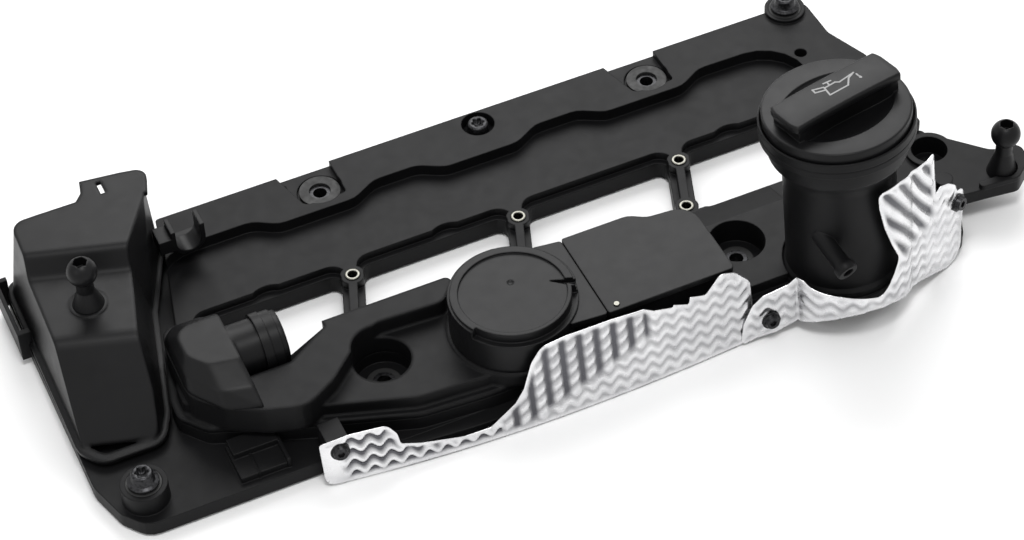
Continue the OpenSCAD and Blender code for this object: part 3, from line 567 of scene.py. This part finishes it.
class VALVECOVER_OT_valve_spring(bpy.types.Operator):
    """Give the valve's spring a mesh of its own"""

    bl_idname = "valve_cover.valve_spring"
    bl_label = "Valve spring"

    STROKE = 3 * MM

    def execute(self, context):
        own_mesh(NODES["valve_spring"])
        return {"FINISHED"}


class VALVECOVER_OT_heat_shields(bpy.types.Operator):
    """Press the two dimpled heat shields"""

    bl_idname = "valve_cover.heat_shields"
    bl_label = "Heat shields"

    FRONT = [(-145, 1, 5), (-100, 1, 5), (-40, 0.5, 5), (10, 0.5, 20), (66, 1, 4), (72.5, 8, 6),
             (72.5, 35, 6), (65, 43.6, 5), (57, 46.3, 4), (48.5, 38, 2), (40.2, 40.5, 0.5), (39.4, 36.8, 0.5),
             (31.3, 39.9, 0.5), (31, 38.6, 0.5), (21.6, 40.9, 2), (16.4, 44, 2), (-0.8, 45.4, 20),
             (-24, 45.8, 12), (-36, 44.5, 8), (-42, 37, 8), (-47, 24, 6), (-52, 17.3, 3), (-65, 8.5, 3),
             (-78, 8, 5), (-98, 11.5, 5), (-108, 14.5, 2), (-109, 21, 5), (-113, 27, 5), (-131, 27.5, 8),
             (-145, 25.3, 1.5)]
    AROUND = [(64.5, 0.8, 2), (72.5, 2.8, 3), (84, 3.4, 5), (94, 7, 8), (101, 13, 8), (110, 17.3, 8),
              (122, 19.2, 15), (133, 18, 15), (145, 14, 15), (156.5, 10, 10), (168, 4.6, 10), (178, 0.6, 3),
              (184, 1.5, 3), (187.3, 7, 4), (188, 20, 5), (189.5, 32, 3), (188.8, 41, 3), (184.6, 42, 1.5),
              (183, 47, 3), (178.4, 51.4, 4), (171.6, 54.8, 2), (168.2, 52.5, 1), (167.3, 66, 3),
              (166.4, 78.6, 0.8), (162, 78.1, 2), (153.9, 79.8, 15), (138.5, 86.6, 10), (126.1, 86.6, 3),
              (126.5, 78, 8), (129.3, 65.2, 12), (133.4, 53.3, 12), (138.3, 42, 6), (134.9, 35, 8),
              (131.5, 29.5, 8), (127, 25.4, 5), (117.7, 27.5, 8), (109.8, 29.2, 8), (102.9, 30, 8),
              (98, 31, 4), (95.4, 34.1, 0.8), (89.6, 29.8, 4), (82.3, 28.2, 5), (76.4, 27, 4), (71, 22.5, 5),
              (66.4, 13, 5)]

    # The front sheet: its place, its bow in plan to the left and right of BOW_FROM, and how far it leans back
    FRONT_Y = -98.3
    BOW_FROM = -20
    BOW_LEFT = (9.3, 125)
    BOW_RIGHT = (3.8, 96)
    FRONT_LEAN = math.tan(math.radians(9.5))
    FRONT_LIFT = 0.8

    # The sheet round the neck: its radius there, and the bends of its left lug and right wing in plan
    WRAP = 33.0
    LEFT_BENDS = [(-60, -8.5), (-37, -10.5), (-31, -11.3)]
    RIGHT_BENDS = [(24.5, -22.1), (27, -20.5), (41, -13), (65, -1.5)]
    NECK_SHEET_LEAN = math.tan(math.radians(7))
    NECK_LIFT = 0.4
    CREASE = 3

    # Depth of the zigzag waves
    DEEP = 1.2
    MIDDLE = 0.5
    FAINT = 0.3

    def execute(self, context):
        settings = context.scene.cover_shield
        front = sheet_mesh("front_shield_sheet", self.FRONT, self.on_front, self.front_pressing, settings)
        around = sheet_mesh("neck_shield_sheet", self.AROUND, self.on_neck, self.neck_pressing, settings)
        for mesh, node in ((front, "heat_shield_front"), (around, "heat_shield_neck")):
            piece = finished(mesh.name, mesh, "cover", foil(), replaces=(node,))
            wall = piece.modifiers.new("Wall", "SOLIDIFY")
            wall.thickness = settings.thickness * MM
            wall.offset = 0
        return {"FINISHED"}

    def front_pressing(self, x, z, settings):
        """Columns at mid-length, above a line that rises to the right; plain at the lug's screwed end."""
        lug_end, lug_root, columns_end = -137, -60, 20
        above = z - 7 - 0.375 * (x + 31)
        share = clamp(above / 4, (columns_end - x) / 3, (x - lug_root) / 3)
        depth = self.DEEP * clamp((x - lug_end) / 5) if x < lug_root else self.MIDDLE
        waves = zigzag(x, z, settings, depth)
        return waves + (columns(x, z, settings) - waves) * share

    def neck_pressing(self, x, z, settings):
        """Streaks on the tall wing, and waves that fade towards the screwed tab."""
        wing_foot, wing_left, wing_right, tab_start = 36, 118, 167, 160
        share = clamp((z - wing_foot) / 8, (x - wing_left) / 4, (wing_right - x) / 3)
        waves = zigzag(x, z, settings, self.MIDDLE if x < tab_start else self.FAINT)
        return waves + (streaks(x, z, settings) - waves) * share

    def on_front(self, x, z, press):
        """A point of the front sheet, bowed in plan and leaning back."""
        bow, reach = self.BOW_LEFT if x < self.BOW_FROM else self.BOW_RIGHT
        bowed = bow * ((x - self.BOW_FROM) / reach) ** 2
        return Vector((x, self.FRONT_Y + bowed + z * self.FRONT_LEAN - self.FRONT_LIFT - press, z))

    def on_neck(self, x, z, press):
        """A point of the sheet round the neck, which leans with it."""
        side = x - NECK_FOOT.x
        left_crease, right_crease = self.LEFT_BENDS[-1][0], self.RIGHT_BENDS[0][0]
        if left_crease < side < right_crease:
            out = -math.sqrt(self.WRAP ** 2 - side ** 2)
            normal = Vector((side, out, 0)).normalized()
        else:
            line = self.LEFT_BENDS if side <= left_crease else self.RIGHT_BENDS
            i = max(0, min(len(line) - 2, sum(side > p[0] for p in line) - 1))
            (x0, y0), (x1, y1) = line[i], line[i + 1]
            out = y0 + (y1 - y0) * (side - x0) / (x1 - x0)
            normal = Vector((y1 - y0, x0 - x1, 0)).normalized()
        lean = self.NECK_SHEET_LEAN * (z - NECK_FOOT.z)
        # The pressing fades beside the two creases where the sheet leaves the neck
        fade = clamp(abs(side - left_crease) / self.CREASE, abs(side - right_crease) / self.CREASE)
        return Vector((x, NECK_FOOT.y + out + lean, z)) + normal * (press * fade + self.NECK_LIFT)


class VALVECOVER_OT_bolts(bpy.types.Operator):
    """Set the six-lobed cover bolts on their sleeves"""

    bl_idname = "valve_cover.bolts"
    bl_label = "Cover bolts"

    SEATS = [(6.5, 79, 16), (184, 85, 24.5), (-223, -66, 20.5)]
    # From the shank's end to the floor of the six-lobed socket
    HEAD = [(0, -14, 0), (3.1, -14, 0), (3.1, 0.02, 0), (7.2, 0.02, 0), (7.4, 0.3, 0), (7.4, 1.3, 0),
            (7.1, 1.6, 0), (5.8, 1.75, 0), (5.35, 2.2, 0), (5.2, 5.9, 0), (4.9, 6.6, 0), (4.3, 7.0, 0),
            (3.0, 7.05, 0.25), (2.75, 6.8, 0.45), (2.65, 4.2, 0.45), (1.2, 3.9, 0), (0, 3.9, 0)]
    SEGMENTS = 72
    LARGEST_TURN = 1.0

    def execute(self, context):
        head = lathe(self.HEAD, self.SEGMENTS)
        mesh = set_on_points("cover_bolt_heads", head, self.SEATS, dark_steel(), self.LARGEST_TURN)
        finished(mesh.name, mesh, "cover", dark_steel(), replaces=("cover_bolts",))
        return {"FINISHED"}


class VALVECOVER_OT_inserts(bpy.types.Operator):
    """Set the bright threaded inserts in the ribs"""

    bl_idname = "valve_cover.inserts"
    bl_label = "Rib inserts"

    CYLINDER_PITCH = 88
    ROW_Y = 16
    FOURTH_FORWARD = -30.5
    RIB_SLANT = math.tan(math.radians(20))
    SEGMENTS = 32
    FOOT_RADIUS = 2.0
    FOOT_HEIGHT = 0.6
    OUTER_RADIUS = 3.72
    THREAD_RADII = (2.1, 2.45)
    THREAD_START = 1
    THREAD_STEP = 0.4
    PLAIN_STEPS = 3
    RIM = [(2.4, -0.1), (2.6, 0), (3.55, 0), (OUTER_RADIUS, -0.2)]

    def execute(self, context):
        low, high = (Vector(c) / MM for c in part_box("rib_inserts"))
        top, depth = high.z, low.z - high.z
        places = [(i * self.CYLINDER_PITCH, self.ROW_Y, top) for i in (-1, 0, 1)]
        along = self.CYLINDER_PITCH + self.FOURTH_FORWARD * self.RIB_SLANT
        places.append((along, self.ROW_Y + self.FOURTH_FORWARD, top))
        start = depth + self.THREAD_START
        turns = int(-depth / self.THREAD_STEP) - self.PLAIN_STEPS
        thread = [(self.THREAD_RADII[k % 2], start + k * self.THREAD_STEP) for k in range(turns)]
        foot = [(self.FOOT_RADIUS, depth + self.FOOT_HEIGHT)]
        outside = [(self.OUTER_RADIUS, depth)]
        ring = turned(foot + thread + self.RIM + outside, self.SEGMENTS)
        mesh = set_on_points("rib_insert_rings", ring, places, bright_steel())
        finished(mesh.name, mesh, "cover", bright_steel(), replaces=("rib_inserts",))
        return {"FINISHED"}


class VALVECOVER_OT_flange_lip(bpy.types.Operator):
    """Widen the base's front flange up to the front heat shield"""

    bl_idname = "valve_cover.flange_lip"
    bl_label = "Flange lip"

    OUTLINE = [(-116, -84), (-104, -90.9), (-88, -92.3), (-70, -93.6), (-50, -94.4), (-30, -94.6),
               (-16, -94.4), (-8, -85.5), (-104, -85.5)]
    HEIGHTS = (3.0, 9.3)

    def execute(self, context):
        bm = bmesh.new()
        low, high = ([bm.verts.new((x, y, z)) for x, y in self.OUTLINE] for z in self.HEIGHTS)
        bm.faces.new(low[::-1])
        bm.faces.new(high)
        sides(bm, low, high)
        bmesh.ops.recalc_face_normals(bm, faces=bm.faces)
        mesh = mesh_from("front_flange_lip", bm)
        finished(mesh.name, mesh, "cover", nylon("cover_base"), smooth=False)
        return {"FINISHED"}


class VALVECOVER_OT_neck(bpy.types.Operator):
    """Turn the filler neck's raised collar and its beaded nipple"""

    bl_idname = "valve_cover.neck"
    bl_label = "Filler neck"

    PROFILE = [(28.5, 0), (28.5, 3), (27, 5), (26.5, 60), (28.6, 66), (31.2, 70), (32.4, 71), (32.8, 72),
               (32.8, 78), (33.4, 80.6), (35.9, 81), (36.4, 81.5), (36.4, 84.6), (36.1, 85), (36.4, 85.4),
               (36.4, 89.2), (36.1, 89.6), (35.6, 89.6), (35.3, 89.3), (35.3, NECK_LENGTH)]
    BORE = [(23.5, -5), (23.5, 99)]
    NIPPLE = [(4.2, -3), (4.2, 15.5), (5.1, 17), (5.3, 18), (5.2, 20.6), (4.8, 21.2)]
    NIPPLE_BORE = [(1.4, -8), (1.4, 3), (2.7, 6), (2.7, 30)]
    NIPPLE_FOOT = Vector((-19.0, -17.4, 35.6))
    NIPPLE_TIP = Vector((-16.3, -38.1, 27.5))
    NECK_SEGMENTS = 128
    NIPPLE_SEGMENTS = 48
    NIPPLE_BORE_SEGMENTS = 32

    def execute(self, context):
        axis = self.NIPPLE_TIP - self.NIPPLE_FOOT
        place = Matrix.Translation(self.NIPPLE_FOOT) @ axis.to_track_quat("Z", "Y").to_matrix().to_4x4()
        nipple = move(turned(self.NIPPLE, self.NIPPLE_SEGMENTS), place)
        nipple_bore = move(turned(self.NIPPLE_BORE, self.NIPPLE_BORE_SEGMENTS), place)
        solid = combine(turned(self.PROFILE, self.NECK_SEGMENTS), nipple, "UNION")
        solid = combine(solid, turned(self.BORE, self.NECK_SEGMENTS), "DIFFERENCE")
        solid = combine(solid, nipple_bore, "DIFFERENCE")
        mesh = mesh_from("neck_with_nipple", move(solid, NECK))
        finished(mesh.name, mesh, "cover", nylon("filler_neck"), replaces=("filler_neck",))
        crisp(mesh)
        return {"FINISHED"}


class VALVECOVER_OT_cap(bpy.types.Operator):
    """Shape the filler cap: a flat disc with an oval finger bowl under a crowned grip"""

    bl_idname = "valve_cover.cap"
    bl_label = "Filler cap"

    DISC_R = 34.6
    DISC_TOP = 10.3
    SPIGOT_R = 19
    SPIGOT_END = -6
    BOWL = (28.8, 22.6)
    BOWL_DEPTH = 6.8
    BOWL_STEPS = (0.2, 0.4, 0.55, 0.7, 0.8, 0.88, 0.94, 0.98, 1.0)
    SEGMENTS = 144

    # The grip: a web scooped on both sides, under a top plate whose ends follow the cap's round
    WEB_REACH = 28.5
    WEB_HALF = 9.6
    SCOOP_RADIUS = 60
    SCOOP_CENTRE = 64.5
    WEB_LEVELS = [(1.5, 0), (GRIP_TOP - 2.5, 0)]
    PLATE_REACH = 31.0
    PLATE_HALF = 10.2
    PLATE_ROUND = 31.5
    PLATE_LEVELS = [(GRIP_TOP - 4.2, 0.5), (GRIP_TOP - 3.8, 0.1), (GRIP_TOP - 3.5, 0), (GRIP_TOP - 1.0, 0),
                    (GRIP_TOP - 0.5, 0.15), (GRIP_TOP - 0.15, 0.5), (GRIP_TOP, 1.0)]
    HALF_STATIONS = 20

    def execute(self, context):
        web = self.bar(self.WEB_REACH, self.web_half, self.WEB_LEVELS, crowned=False)
        plate = self.bar(self.PLATE_REACH, self.plate_half, self.PLATE_LEVELS, crowned=True)
        cap = combine(combine(self.disc(), web, "UNION"), plate, "UNION")
        mesh = mesh_from("cap_with_grip", move(cap, NECK @ Matrix.Translation((0, 0, CAP_SEAT))))
        finished(mesh.name, mesh, "cap", nylon("filler_cap"), replaces=("filler_cap",))
        crisp(mesh)
        return {"FINISHED"}

    def disc(self):
        """The turned disc, its top laid out from the oval bowl to the round edge."""
        edge, top = self.DISC_R, self.DISC_TOP
        rim = [(edge - 0.9, top), (edge - 0.4, top - 0.12), (edge - 0.1, top - 0.4), (edge, top - 0.9),
               (edge, 0.6), (edge - 0.6, 0), (self.SPIGOT_R, 0), (self.SPIGOT_R, self.SPIGOT_END)]
        bm = bmesh.new()
        rows = [[bm.verts.new((0, 0, top - self.BOWL_DEPTH))]]
        for share in self.BOWL_STEPS:
            depth = self.BOWL_DEPTH * (1 - share ** 2) ** 0.7
            rows.append(self.oval(bm, self.BOWL[0] * share, self.BOWL[1] * share, top - depth))
        rows += [self.oval(bm, radius, radius, height) for radius, height in rim]
        rows.append([bm.verts.new((0, 0, self.SPIGOT_END))])
        return skin(bm, rows, self.SEGMENTS)

    def oval(self, bm, across, deep, height):
        """A ring of vertices, turned as the grip is."""
        turn = Matrix.Rotation(GRIP_TURN, 4, "Z")
        angles = [2 * math.pi * i / self.SEGMENTS for i in range(self.SEGMENTS)]
        points = [Vector((across * math.cos(a), deep * math.sin(a), height)) for a in angles]
        return [bm.verts.new(turn @ point) for point in points]

    def web_half(self, x):
        """Half the thickness of the grip's scooped web."""
        return min(self.WEB_HALF, self.SCOOP_CENTRE - math.sqrt(self.SCOOP_RADIUS ** 2 - x ** 2))

    def plate_half(self, x):
        """Half the width of the grip's top plate, whose ends follow the cap's round."""
        return min(self.PLATE_HALF, math.sqrt(self.PLATE_ROUND ** 2 - x ** 2))

    def bar(self, reach, half, levels, crowned):
        """A bar along X, built from cross sections, with (height, inset) levels from bottom to top."""
        bm = bmesh.new()
        turn = Matrix.Rotation(GRIP_TURN, 4, "Z")
        count = self.HALF_STATIONS
        places = [reach * math.sin(math.pi / 2 * (k / count - 1)) for k in range(2 * count + 1)]
        loops = []
        for height, inset in levels:
            edges = []
            for sign in (-1, 1):
                row = []
                for x in places:
                    out = Vector((x * (reach - inset) / reach, sign * (half(x) - inset), height))
                    if crowned:
                        out.z += math.sqrt(CROWN_RADIUS ** 2 - x ** 2) - CROWN_RADIUS
                    row.append(bm.verts.new(turn @ out))
                edges.append(row)
            loops.append(edges)
        for low, high in zip(loops, loops[1:]):
            sides(bm, low[0] + low[1][::-1], high[0] + high[1][::-1])
        for near, far in (loops[0], loops[-1]):
            for i in range(len(near) - 1):
                bm.faces.new([near[i], near[i + 1], far[i + 1], far[i]])
        bmesh.ops.recalc_face_normals(bm, faces=bm.faces)
        return bm


class VALVECOVER_OT_cap_symbol(bpy.types.Operator):
    """Mark the oil can on the cap's grip"""

    bl_idname = "valve_cover.cap_symbol"
    bl_label = "Cap symbol"

    STROKES = [
        [(-3.6, 3.5), (-4.7, -2.0), (5.8, -1.9), (9.2, 2.0), (13.2, 3.7), (4.2, 2.5), (2.6, 3.7),
         (-3.6, 3.5)],
        [(-0.2, 6.1), (-0.6, 3.9)],
        [(-2.0, 6.3), (1.7, 5.9)],
        [(-3.6, 4.2), (-8.6, 6.0), (-8.8, 3.6), (-4.2, 2.1)],
        [(13.7, 2.0), (13.6, 0.0)],
    ]
    DROP = [(13.3, 0.4), (13.0, -1.2), (13.8, -1.9), (14.5, -1.1), (14.1, 0.3)]
    WIDTH = 0.8
    RAISED = 0.08

    def execute(self, context):
        bm = bmesh.new()
        for stroke in self.STROKES:
            for a, b in zip(stroke, stroke[1:]):
                self.line(bm, Vector(a), Vector(b))
        self.plate(bm, [Vector(p) for p in self.DROP])
        material = store("laser_marked_nylon", symbol_grey)
        finished("cap_symbol", mesh_from("cap_symbol", bm), "cap", material, smooth=False)
        return {"FINISHED"}

    def line(self, bm, a, b):
        """A thin raised bar from a to b on the crowned top of the grip."""
        along = (b - a).normalized() * self.WIDTH / 2
        side = Vector((-along.y, along.x))
        self.plate(bm, [a - along - side, b + along - side, b + along + side, a - along + side])

    def plate(self, bm, corners):
        """A thin raised plate on the grip, with the given corners."""
        low = [bm.verts.new(self.on_grip(c, 0)) for c in corners]
        high = [bm.verts.new(self.on_grip(c, self.RAISED)) for c in corners]
        bm.faces.new(high)
        bm.faces.new(low[::-1])
        sides(bm, low, high)

    def on_grip(self, point, above):
        """Turns a point on the grip's top into the cover's millimetres."""
        top = GRIP_TOP + math.sqrt(CROWN_RADIUS ** 2 - point.x ** 2) - CROWN_RADIUS
        return NECK @ Matrix.Rotation(GRIP_TURN, 4, "Z") @ Vector((point.x, point.y, CAP_SEAT + top + above))


class VALVECOVER_OT_stage(bpy.types.Operator):
    """Lay the pale floor, hang the soft lamps and set the camera"""

    bl_idname = "valve_cover.stage"
    bl_label = "Studio"

    # The photograph's camera: its place in millimetres, its angles and its focal length
    EYE = Vector((-376.0, -909.7, 1023.0))
    PAN, TILT, ROLL = (math.radians(a) for a in (21.84, 46.29, 3.44))
    FOCAL_PIXELS = 2891
    IMAGE_WIDTH = 1024
    FLOOR_REACH = 6
    # Name, place, aim, diameter and the setting that holds the power
    LAMPS = [("overhead", (0.45, 1.05, 1.2), (0.0, 0.0, 0.0), 1.3, "key"),
             ("left_side", (-1.3, -0.5, 0.9), (0.0, 0.0, 0.03), 0.7, "fill"),
             ("front_above", (-0.15, -0.5, 1.6), (0.0, 0.0, 0.03), 0.45, "edge")]

    def execute(self, context):
        self.camera(context.scene)
        self.floor(context.scene)
        self.world(context.scene)
        for name, place, aim, size, power in self.LAMPS:
            self.lamp(name, place, aim, size, getattr(context.scene.cover_light, power))
        context.scene.view_settings.view_transform = "Standard"
        return {"FINISHED"}

    def camera(self, scene):
        cp, sp = math.cos(self.PAN), math.sin(self.PAN)
        ct, st = math.cos(self.TILT), math.sin(self.TILT)
        forward = Vector((sp * ct, cp * ct, -st))
        right = Vector((cp, -sp, 0))
        down = forward.cross(right)
        cr, sr = math.cos(self.ROLL), math.sin(self.ROLL)
        right, down = cr * right + sr * down, -sr * right + cr * down
        lens = bpy.data.cameras.new("camera")
        lens.sensor_width = 36
        lens.lens = self.FOCAL_PIXELS / self.IMAGE_WIDTH * lens.sensor_width
        lens.clip_end = 20
        eye = bpy.data.objects.new("camera", lens)
        axes = Matrix((right, -down, -forward)).transposed().to_4x4()
        eye.matrix_world = Matrix.Translation((self.EYE + DATUM) * MM) @ axes
        scene.collection.objects.link(eye)
        scene.camera = eye

    def floor(self, scene):
        """A pale matt floor that keeps the shadow and looks white to the camera."""
        material, tree, shader, where = new_material("studio_floor")
        shader.inputs["Base Color"].default_value = linear(scene.cover_colours.floor)
        shader.inputs["Roughness"].default_value = 0.9
        shader.inputs["Specular IOR Level"].default_value = 0.2
        mesh = bpy.data.meshes.new("floor")
        r = self.FLOOR_REACH
        mesh.from_pydata([(-r, -r, 0), (r, -r, 0), (r, r, 0), (-r, r, 0)], [], [(0, 1, 2, 3)])
        mesh.materials.append(material)
        floor = bpy.data.objects.new("floor", mesh)
        scene.collection.objects.link(floor)

    def world(self, scene):
        world = bpy.data.worlds.new("studio")
        world.use_nodes = True
        tree = world.node_tree
        tree.nodes.clear()
        path = add_node(tree, "ShaderNodeLightPath").outputs
        seen = path["Is Camera Ray"]
        for ray in ("Is Glossy Ray", "Is Transmission Ray"):
            seen = add_node(tree, "ShaderNodeMath", {0: seen, 1: path[ray]}, operation="MAXIMUM").outputs[0]
        strength = add_node(tree, "ShaderNodeMix", {"Factor": seen, 2: scene.cover_light.surround, 3: 1.0})
        surround = add_node(tree, "ShaderNodeBackground",
                            {"Color": (1, 1, 1, 1), "Strength": strength.outputs[0]})
        add_node(tree, "ShaderNodeOutputWorld", {"Surface": surround.outputs["Background"]})
        scene.world = world

    def lamp(self, name, place, aim, size, power):
        light = bpy.data.lights.new(name, "AREA")
        light.shape = "DISK"
        light.size = size
        light.energy = power
        lamp = bpy.data.objects.new(name, light)
        lamp.location = place
        lamp.rotation_euler = (Vector(aim) - Vector(place)).to_track_quat("-Z", "Y").to_euler()
        bpy.context.scene.collection.objects.link(lamp)


class VALVECOVER_PT_panel(bpy.types.Panel):
    """Lists the steps that dress the valve cover"""

    bl_idname = "VALVECOVER_PT_panel"
    bl_label = "Valve Cover"
    bl_space_type = "VIEW_3D"
    bl_region_type = "UI"
    bl_category = "Valve Cover"

    def draw(self, context):
        for group in (context.scene.cover_colours, context.scene.cover_shield, context.scene.cover_light):
            box = self.layout.box()
            for name in group.__annotations__:
                box.prop(group, name)
        for step in STEPS:
            self.layout.operator(step.bl_idname)


STEPS = (VALVECOVER_OT_finishes, VALVECOVER_OT_valve_spring, VALVECOVER_OT_heat_shields, VALVECOVER_OT_bolts,
         VALVECOVER_OT_inserts, VALVECOVER_OT_flange_lip, VALVECOVER_OT_neck, VALVECOVER_OT_cap,
         VALVECOVER_OT_cap_symbol, VALVECOVER_OT_stage)
CLASSES = (ValveCoverColours, ValveCoverShield, ValveCoverLight) + STEPS + (VALVECOVER_PT_panel,)


def register():
    for item in CLASSES:
        bpy.utils.register_class(item)
    bpy.types.Scene.cover_colours = bpy.props.PointerProperty(type=ValveCoverColours)
    bpy.types.Scene.cover_shield = bpy.props.PointerProperty(type=ValveCoverShield)
    bpy.types.Scene.cover_light = bpy.props.PointerProperty(type=ValveCoverLight)


def unregister():
    del bpy.types.Scene.cover_light
    del bpy.types.Scene.cover_shield
    del bpy.types.Scene.cover_colours
    for item in reversed(CLASSES):
        bpy.utils.unregister_class(item)


def main():
    register()
    for step in STEPS:
        group, name = step.bl_idname.split(".")
        getattr(getattr(bpy.ops, group), name)()


if __name__ == "__main__":
    main()
